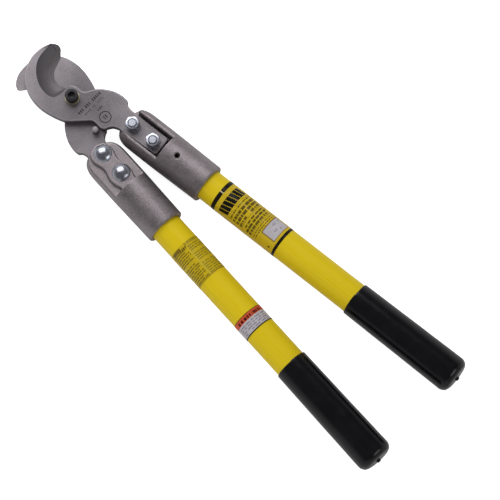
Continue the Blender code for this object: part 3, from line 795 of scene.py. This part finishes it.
class Foil:
    """A foil wrapped round the tube as a grid of small cells, each with its printed colour.

    Angles are in degrees round the tube: 0 is the side towards the tool's left, 90 is the top as
    the tool lies, 180 the side towards its right. Stations are along the handle.
    """
    CELL_ANGLE = 2.0
    CELL = 0.6
    SEAM = 88.0

    def __init__(self, span, base, seed):
        self.low, self.high = span
        self.columns = round(360 / self.CELL_ANGLE) + 2
        self.rows = round((self.high - self.low) / self.CELL)
        self.random = random.Random(seed)
        self.cells = [[base] * self.rows for _ in range(self.columns)]

    def paint(self, stations, angles, colour):
        """Fill the cells whose centres are inside the stations and the angles."""
        for column in range(self.columns):
            angle = (self.SEAM + (column + 0.5) * self.CELL_ANGLE) % 360
            if not any(angles[0] <= angle + turn <= angles[1] for turn in (-360, 0, 360)):
                continue
            for row in range(self.rows):
                station = self.low + (row + 0.5) * (self.high - self.low) / self.rows
                if stations[0] <= station <= stations[1]:
                    self.cells[column][row] = colour

    def words(self, stations, angles, colour, longest=16.0, gap=5.0, fill=0.85):
        """A row of dashes of uneven length, as unreadable small print."""
        at = angles[0]
        while at < angles[1]:
            length = self.random.uniform(longest * 0.3, longest)
            if self.random.random() < fill:
                self.paint(stations, (at, min(at + length, angles[1])), colour)
            at += length + self.random.uniform(gap * 0.6, gap * 1.3)

    def rows_of(self, table):
        """Bands, and rows of words where a band's dash lengths follow its colour."""
        for low, high, start, stop, colour, *dashes in table:
            if dashes:
                self.words((low, high), (start, stop), colour, *dashes)
            else:
                self.paint((low, high), (start, stop), colour)

    def mesh(self, under):
        """under is -1 on the half that lies turned over, so the print still faces up."""
        bm = bmesh.new()
        colour_layer = bm.loops.layers.float_color.new("print")
        outer = []
        inner = []
        for column in range(self.columns + 1):
            angle = radians(self.SEAM + column * self.CELL_ANGLE)
            lift = FOIL * min(1.0, max(0.0, (column - self.columns + 4) / 2))
            local = -angle if under < 0 else pi - angle
            direction = Vector((cos(local), sin(local), 0))
            radius = FOIL_RADIUS + FOIL + lift
            outer.append([bm.verts.new(direction * radius + up(self.station(row)))
                          for row in range(self.rows + 1)])
            inner.append([bm.verts.new(direction * (radius - FOIL) + up(station))
                          for station in (self.low, self.high)])

        def add(corners, colour):
            face = bm.faces.new(corners)
            for loop in face.loops:
                loop[colour_layer] = (*colour, 1)

        for column in range(self.columns):
            left, right = outer[column], outer[column + 1]
            for row in range(self.rows):
                add((left[row], right[row], right[row + 1], left[row + 1]), self.cells[column][row])
            first, last = self.cells[column][0], self.cells[column][-1]
            add((left[0], inner[column][0], inner[column + 1][0], right[0]), first)
            add((left[-1], right[-1], inner[column + 1][1], inner[column][1]), last)
            add((*inner[column], *reversed(inner[column + 1])), first)
        for column in (0, self.columns):
            add([*outer[column], inner[column][1], inner[column][0]], self.cells[0][1])
        return mesh_from(bm)

    def station(self, row):
        return self.low + (self.high - self.low) * row / self.rows


AMBER = (0.68, 0.475, 0.014)
INK = (0.008, 0.007, 0.005)
BROWN = (0.26, 0.15, 0.02)
DARK_BROWN = (0.22, 0.14, 0.012)
OLIVE = (0.14, 0.095, 0.006)
MID_OLIVE = (0.20, 0.14, 0.008)
PALE_OLIVE = (0.30, 0.22, 0.010)
SILVER = (0.56, 0.53, 0.58)
ORANGE = (0.66, 0.10, 0.035)
RED_BLACK = (0.03, 0.008, 0.004)
BROWN_BLACK = (0.03, 0.025, 0.012)
MAROON = (0.10, 0.006, 0.008)
GREY = (0.27, 0.25, 0.31)
DARK_GREY = (0.34, 0.31, 0.38)

# Each band's stations, angles and colour, and for words their greatest length, gap and fill
RIGHT_BANDS = (
    (192.8, 193.8, 28, 150, PALE_OLIVE, 9, 3, 0.95), (195.0, 196.4, 28, 150, OLIVE, 9, 3, 0.95),
    (198.0, 201.0, 28, 148, OLIVE, 20, 3.5, 0.97), (202.4, 205.4, 28, 148, OLIVE, 24, 3.5, 0.97),
    (206.6, 209.0, 28, 150, OLIVE, 20, 3.5, 0.97), (209.8, 210.5, 24, 152, PALE_OLIVE),
    (211.8, 214.0, 26, 144, OLIVE, 20, 3, 0.97), (215.2, 217.4, 24, 146, OLIVE, 24, 3, 0.97),
    (218.6, 220.8, 24, 136, OLIVE, 20, 3, 0.97), (221.8, 222.4, 24, 152, PALE_OLIVE),
    (223.4, 224.8, 26, 150, OLIVE, 9, 3, 0.97), (225.8, 227.2, 26, 150, OLIVE, 10, 3, 0.97),
    (228.4, 244.6, 62, 152, BROWN), (229.4, 243.6, 66, 148, SILVER),
    (231.0, 233.4, 126, 144, DARK_GREY, 9, 2), (232.0, 234.4, 104, 122, DARK_GREY, 9, 2),
    (239.2, 241.6, 116, 134, DARK_GREY, 9, 2), (237.4, 239.8, 92, 110, DARK_GREY, 9, 2),
    (241.0, 243.4, 30, 38, OLIVE), (198.0, 200.0, 200, 340, OLIVE, 20, 6))


def right_label_mesh():
    """A bold row of slanted bars over rows of small print, none of which says anything."""
    foil = Foil(RIGHT_LABEL, AMBER, 11)
    front, rear = RIGHT_LABEL
    foil.paint((front, front + 4.0), (0, 360), INK)
    foil.paint((rear - 3.2, rear), (0, 360), INK)
    foil.paint((front, front + 4.0), (86, 90), (0.7, 0.62, 0.3))
    for bar in range(7):
        for step in range(9):
            start = 24 + bar * 17.0 + step * 1.0
            station = 181.0 + step * 1.2
            foil.paint((station, station + 1.2), (start, start + 14.6), INK)
    foil.rows_of(RIGHT_BANDS)
    for row in range(5):
        foil.words((204.0 + row * 3.4, 205.8 + row * 3.4), (200, 340), OLIVE, 18, 5)
    return foil.mesh(1)


def left_label_mesh():
    foil = Foil(LEFT_LABEL, (0.64, 0.46, 0.012), 23)
    front, rear = LEFT_LABEL
    foil.words((front + 0.2, front + 3.0), (88, 172), PALE_OLIVE, 5, 2.5, 1.0)
    foil.paint((front + 0.3, front + 4.2), (20, 66), DARK_BROWN)
    foil.words((front + 3.2, front + 4.6), (60, 88), OLIVE, 9, 3)
    for row in range(15):
        at = front + 4.6 + row * 2.4
        line = (at, at + 1.2)
        if row not in (3, 8):
            foil.words(line, (92, 172), PALE_OLIVE, 26, 3, 1.0)
        if row != 6:
            foil.words(line, (14, 84 - 12 * (row % 3 == 1)), MID_OLIVE, 34, 2.5, 1.0)
        if row % 4 != 1:
            foil.words(line, (190, 350), OLIVE, 20, 5)
    foil.paint((rear - 1.2, rear - 0.4), (14, 172), OLIVE)
    # A painted highlight: a lighter line along the foil's overlap seam
    foil.paint((front + 8, rear), (87.9, 89.9), (0.66, 0.54, 0.07))
    return foil.mesh(-1)


def warning_label_mesh():
    foil = Foil(WARNING_LABEL, SILVER, 37)
    front, rear = WARNING_LABEL
    foil.rows_of(((front, front + 6.0, 0, 360, ORANGE), (front, front + 0.9, 0, 360, RED_BLACK),
                  (rear - 1.0, rear, 0, 360, BROWN_BLACK),
                  (front + 2.2, front + 5.2, 34, 104, MAROON, 13, 5, 1.0),
                  (front + 2.2, front + 5.2, 108, 146, MAROON, 10, 3, 1.0)))
    for row in range(4):
        at = front + 8.0 + row * 2.4
        line = (at, at + 1.2)
        for angles in ((22, 150), (200, 330)):
            foil.words(line, angles, GREY, 26, 5, 0.95)
    return foil.mesh(-1)


# ---- fasteners

def carriage_bolt_mesh():
    """Head down: the dome is at -Z; the square neck and the threaded shank rise from it."""
    end = BLADE_TOP + SEAT - PAD_LEVEL + WASHER_THICKNESS + BOLT_NUT_HEIGHT + THREAD_PROUD
    sphere = (DOME_RADIUS ** 2 + DOME_HEIGHT ** 2) / (2 * DOME_HEIGHT)
    half_angle = degrees(asin(DOME_RADIUS / sphere))
    root = BOLT_RADIUS - 0.45
    shank = [(0, end), (root - 0.3, end), (root, end - 0.3)]
    turns = 9
    for turn in range(turns):
        crest = end - 0.9 - turn * THREAD_PITCH
        shank += [(BOLT_RADIUS, crest), (BOLT_RADIUS, crest - 0.2),
                  (root, crest - THREAD_PITCH / 2)]
    shank += [(BOLT_RADIUS, end - 1.2 - turns * THREAD_PITCH), (BOLT_RADIUS, 0),
              (DOME_RADIUS - 0.5, 0), (DOME_RADIUS - 0.1, -0.15)]
    dome = arc((0, sphere - DOME_HEIGHT), sphere, half_angle - 90, -90, 14)
    profile = shank + [(r, z - 0.1) for r, z in dome[:-1]] + [(0, -DOME_HEIGHT - 0.1)]
    neck = BOLT_RADIUS + 0.05
    square = block((-neck, -neck, -0.6), (neck, neck, NECK_DEPTH - 0.3))
    return carved(lathe(profile, 72), [("UNION", square)])


def hex_nut_mesh(flats, height, bore):
    """A hexagon with its corners turned off at both faces and a countersunk bore."""
    corner = flats / sqrt(3)
    depth = (corner - flats / 2) * 0.6
    face = flats / 2 * 0.95
    blank = lathe([(0, height), (face, height), (corner, height - depth), (corner, depth),
                   (face, 0), (0, 0)], 96)
    hexagon = rod(corner - 0.02, -height, 2 * height, segments=6)
    sink = 0.7
    tap = lathe([(0, height + 1), (bore + sink + 1, height + 1), (bore, height - sink),
                 (bore, sink), (bore + sink + 1, -1), (0, -1)], 72)
    return carved(blank, [("INTERSECT", hexagon), ("DIFFERENCE", tap)])


def washer_mesh(radius, bore, corner=0.25):
    thick = WASHER_THICKNESS
    mid = corner * 0.3
    profile = [(bore, thick), (radius - corner, thick), (radius - mid, thick - mid),
               (radius, thick - corner), (radius, corner), (radius - mid, mid),
               (radius - corner, 0), (bore, 0), (bore, thick)]
    return lathe(profile, 72)


def lock_washer_mesh():
    """Spring washer with a slanted split."""
    split = prism([(0, -0.35), (20, -0.35), (20, 0.35), (0, 0.35)], -2, 5,
                  Matrix.Rotation(radians(28), 4, "Z") @ Matrix.Rotation(radians(25), 4, "X"))
    return cut(washer_mesh(BOLT_WASHER_RADIUS, BOLT_RADIUS + 0.15), split)


def pivot_screw_mesh():
    """Socket-head cap screw with a knurled head; its seat is at Z = 0, its shank points down."""
    length = 2 * (BLADE_TOP + WASHER_THICKNESS) + 4 * SEAT + PIVOT_NUT_HEIGHT + 1.5
    head = PIVOT_HEAD_RADIUS
    top = PIVOT_HEAD_HEIGHT
    profile = [(0, top), (head - 1.0, top), (head - 0.6, top - 0.1), (head, top - 0.75),
               (head, top - 1.0), (head, 1.2), (head, 0.9), (head - 0.3, 0), (PIVOT_RADIUS, 0)]
    root = PIVOT_RADIUS - 0.4
    turns, pitch = 5, 1.25
    for turn in range(turns):
        crest = 0.9 - length + turns * pitch - turn * pitch
        profile += [(PIVOT_RADIUS, crest), (PIVOT_RADIUS, crest - 0.2), (root, crest - 0.62)]
    profile += [(root - 0.3, -length), (0, -length)]

    def warp(index, step, angle, radius, height):
        knurled = index in (4, 5)
        return radius - (0.22 if knurled and step % 2 else 0.0), height

    corner = PIVOT_SOCKET_FLATS / sqrt(3)
    hexagon = rod(corner, top - PIVOT_SOCKET_DEPTH, top + 5, segments=6, turn=radians(8))
    mouth = lathe([(0, top + 1), (corner + 1.25, top + 1), (corner - 0.35, top - 0.6),
                   (0, top - 0.6)], 48)
    drill = lathe([(0, top - 3), (2.6, top - 3), (2.6, top - PIVOT_SOCKET_DEPTH - 0.2),
                   (0, top - PIVOT_SOCKET_DEPTH - 1.2)], 48)
    return cut(lathe(profile, 112, warp), hexagon, mouth, drill)


def stop_pin_mesh():
    low = -BLADE_TOP + 0.2
    top = STOP_PIN_TOP
    r = STOP_PIN_RADIUS
    profile = [(0, top), (r - 0.45, top), (r - 0.15, top - 0.1), (r, top - 0.35), (r, top - 0.8),
               (r, low + 0.5), (r - 0.4, low), (0, low)]
    return lathe(profile, 64)


def roll_pin_mesh():
    """Slotted spring pin along Z with rounded ends."""
    inner = ROLL_PIN_RADIUS - ROLL_PIN_WALL
    low, high = ROLL_PIN_SPAN
    rows = [(0.25, low), (0.0, low + 0.5), (0.0, (low + high) / 2), (0.0, high - 0.5), (0.25, high)]
    bm = bmesh.new()
    rings = []
    for inset, height in rows:
        outline = arc((0, 0), ROLL_PIN_RADIUS - inset, 10, 350, 44)
        outline += arc((0, 0), inner, 350, 10, 44)
        rings.append([bm.verts.new((x, y, height)) for x, y in outline])
    for lower, upper in zip(rings, rings[1:]):
        wall(bm, lower, upper)
    for ring in (rings[0], rings[-1]):
        half = len(ring) // 2
        for i in range(half - 1):
            bm.faces.new((ring[i], ring[i + 1], ring[-2 - i], ring[-1 - i]))
    return mesh_from(bm)


# ---- assembly

def add_piece(name, mesh, matrix, body, node):
    made = linked(mesh, name)
    made.matrix_world = matrix
    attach(made, body)
    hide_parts(node)
    return made


def build(looks):
    place = Matrix.Translation(PIVOT)
    halves = {"right": place, "left": place @ Matrix.Rotation(pi, 4, "Y")}
    stop_hole = [(STOP_PIN_PLACE, STOP_PIN_RADIUS + 0.1)]
    steel = [looks["steel"], looks["ground"], looks["stamp"]]
    front, back = blade_mesh(steel, [], stamped=True), blade_mesh(steel, stop_hole)
    blades = {"right": ("front_blade", finished(front, steel, sharp=32, weigh=True)),
              "left": ("back_blade", finished(back, steel, sharp=32, weigh=True))}
    socket = finished(socket_mesh(), [looks["cast"]], sharp=70)
    tube = finished(tube_mesh(), [looks["fibreglass"]])
    grip = finished(grip_mesh(), [looks["vinyl"]], sharp=60)
    bolt = finished(carriage_bolt_mesh(), [looks["zinc"]], sharp=32)
    washer = finished(lock_washer_mesh(), [looks["zinc"]], sharp=50)
    nut = hex_nut_mesh(BOLT_NUT_FLATS, BOLT_NUT_HEIGHT, BOLT_RADIUS + THREAD_FIT)
    nut = finished(nut, [looks["zinc"]], sharp=25)
    pin = finished(roll_pin_mesh(), [looks["spring"]])
    foils = {"right": [("right_label", right_label_mesh, "amber")],
             "left": [("left_label", left_label_mesh, "amber"),
                      ("left_warning_label", warning_label_mesh, "warning")]}

    upright = Matrix.Rotation(radians(90), 4, "X")
    for side in ("right", "left"):
        body = f"{side}_half"
        half = halves[side]
        handle = (half @ Matrix.Translation((HANDLE_X * MM, 0, 0))
                  @ Matrix.Rotation(HANDLE_ANGLE, 4, "Z"))
        name, blade = blades[side]
        add_piece(f"{name}_detail", blade, half, body, name)
        for part, mesh, slot in (("socket", socket, "cast_aluminium"),
                                 ("tube", tube, "yellow_fibreglass"),
                                 ("grip", grip, "black_vinyl")):
            add_piece(f"{side}_{part}_detail", mesh, handle @ upright, body, f"{side}_{part}")
        for node, make, look in foils[side]:
            mesh = finished(make(), [looks[look]], sharp=60)
            add_piece(f"{node}_detail", mesh, handle @ upright, body, node)
        spot = Matrix.Translation((0, -ROLL_PIN_STATION * MM, 0)) @ Matrix.Rotation(2.0, 4, "Z")
        add_piece(f"{side}_roll_pin_detail", pin, handle @ spot, body,
                  f"{side}_roll_pin")
        washer_level = BLADE_TOP + SEAT
        nut_level = washer_level + WASHER_THICKNESS
        for end, (across, along), turn in zip(("front", "rear"), BOLT_PLACES, (12, 40)):
            spot = handle @ Matrix.Translation(Vector((across, -along, 0)) * MM)
            turned = Matrix.Rotation(radians(turn), 4, "Z")
            for part, mesh, level, spin in (("bolt", bolt, PAD_LEVEL, Matrix.Identity(4)),
                                            ("washer", washer, washer_level, turned),
                                            ("nut", nut, nut_level, turned)):
                lift = Matrix.Translation((0, 0, level * MM))
                node = f"{side}_{end}_{part}"
                add_piece(f"{node}_detail", mesh, spot @ lift @ spin, body, node)

    brass = washer_mesh(PIVOT_WASHER_RADIUS, PIVOT_RADIUS + 0.2, corner=0.4)
    brass = finished(brass, [looks["brass"]], sharp=50)
    seat = BLADE_TOP + SEAT
    head = seat + WASHER_THICKNESS + SEAT
    screw = finished(pivot_screw_mesh(), [looks["black"]], sharp=30)
    pivot_nut = hex_nut_mesh(PIVOT_NUT_FLATS, PIVOT_NUT_HEIGHT, PIVOT_RADIUS + THREAD_FIT)
    pivot_nut = finished(pivot_nut, [looks["black"]], sharp=25)
    stop_pin = finished(stop_pin_mesh(), [looks["pin"]], sharp=50)
    stop_x, stop_y = STOP_PIN_PLACE
    for node, mesh, spot, slot in (
            ("pivot_washer_front", brass, (0, 0, seat), "brass"),
            ("pivot_washer_back", brass, (0, 0, -seat - WASHER_THICKNESS), "brass"),
            ("pivot_screw", screw, (0, 0, head), "black_oxide"),
            ("pivot_nut", pivot_nut, (0, 0, -head - PIVOT_NUT_HEIGHT), "black_oxide"),
            ("stop_pin", stop_pin, (-stop_x, stop_y, 0), "forged_steel")):
        matrix = place @ Matrix.Translation(Vector(spot) * MM)
        add_piece(f"{node}_detail", mesh, matrix, "left_half", node)

    for node in ("left_foam_core", "right_foam_core"):
        core = bpy.data.objects[node]
        for slot in core.material_slots:
            slot.material = looks["foam"]


# ---- stage, light and camera

LIGHT_AIM = up(0.02)
CAMERA_LENS = 224.9
CAMERA_TURN = (14.057, 1.999, -46.139)  # degrees
CAMERA_AIM = (9.93, -229.71, 0)  # millimetres from the pivot
CAMERA_DISTANCE = 3.0  # metres


def area_light(name, azimuth, zenith, distance, size, radiance):
    """A softbox round the tool's middle. Azimuth 0 is +X and 90 is +Y; zenith 0 is overhead."""
    data = bpy.data.lights.new(name, "AREA")
    data.shape = "RECTANGLE"
    data.size, data.size_y = size
    data.energy = radiance * pi * size[0] * size[1]
    made = linked(data, name)
    azimuth, zenith = radians(azimuth), radians(zenith)
    direction = Vector((sin(zenith) * cos(azimuth), sin(zenith) * sin(azimuth),
                        cos(zenith)))
    made.location = LIGHT_AIM + direction * distance
    made.rotation_euler = direction.to_track_quat("Z", "Y").to_euler()
    return made


def make_stage():
    bm = bmesh.new()
    bmesh.ops.create_grid(bm, x_segments=8, y_segments=8, size=4.0)
    floor = linked(mesh_from(bm, "floor"), "floor")
    floor.location = (0, 0, -0.0003)
    paper = Look("pale_floor", 0.9, Specular_IOR_Level=0.1)
    fibres = paper.noise(40)
    paper.feed("Base Color", paper.mixed(fibres, (0.84, 0.84, 0.84), (0.86, 0.86, 0.86)))
    paper.shader.inputs["Emission Color"].default_value = (1, 1, 1, 1)
    seen = paper.node("LightPath").outputs["Is Camera Ray"]
    paper.feed("Emission Strength", paper.ranged(seen, 0.0, 1.0, 0.0, 0.88))
    floor.data.materials.append(paper.material)

    SCENE.world = bpy.data.worlds.new("studio")
    sky = Nodes(SCENE.world, "Background")
    coords = sky.node("TexCoord").outputs["Generated"]
    height = sky.node("SeparateXYZ", {"Vector": coords}).outputs["Z"]
    # brightest at the horizon
    sky.feed("Strength", sky.ranged(height, 0.0, 0.45, 0.65, 0.13))
    sky.shader.inputs["Color"].default_value = (1, 1, 1, 1)

    area_light("key", 62, 44, 1.6, (1.5, 1.2), 3.0)
    near = area_light("near_box", -78, 60, 1.5, (0.9, 0.5), 2.4)
    near.visible_diffuse = False
    for fill in (area_light("left_fill", 190, 50, 1.6, (1.5, 1.0), 1.5),
                 area_light("top_fill", -60, 12, 1.6, (1.5, 1.5), 0.55)):
        fill.visible_glossy = False
    SCENE.view_settings.view_transform = "Standard"


def make_camera():
    data = bpy.data.cameras.new("camera")
    data.sensor_width = 36.0
    data.lens = CAMERA_LENS
    data.clip_end = 20.0
    made = linked(data, "camera")
    turn = Euler([radians(angle) for angle in CAMERA_TURN])
    aim = PIVOT + Vector(CAMERA_AIM) * MM
    made.rotation_euler = turn
    made.location = aim + turn.to_matrix() @ up(CAMERA_DISTANCE)
    SCENE.camera = made


build(make_looks())
make_stage()
make_camera()
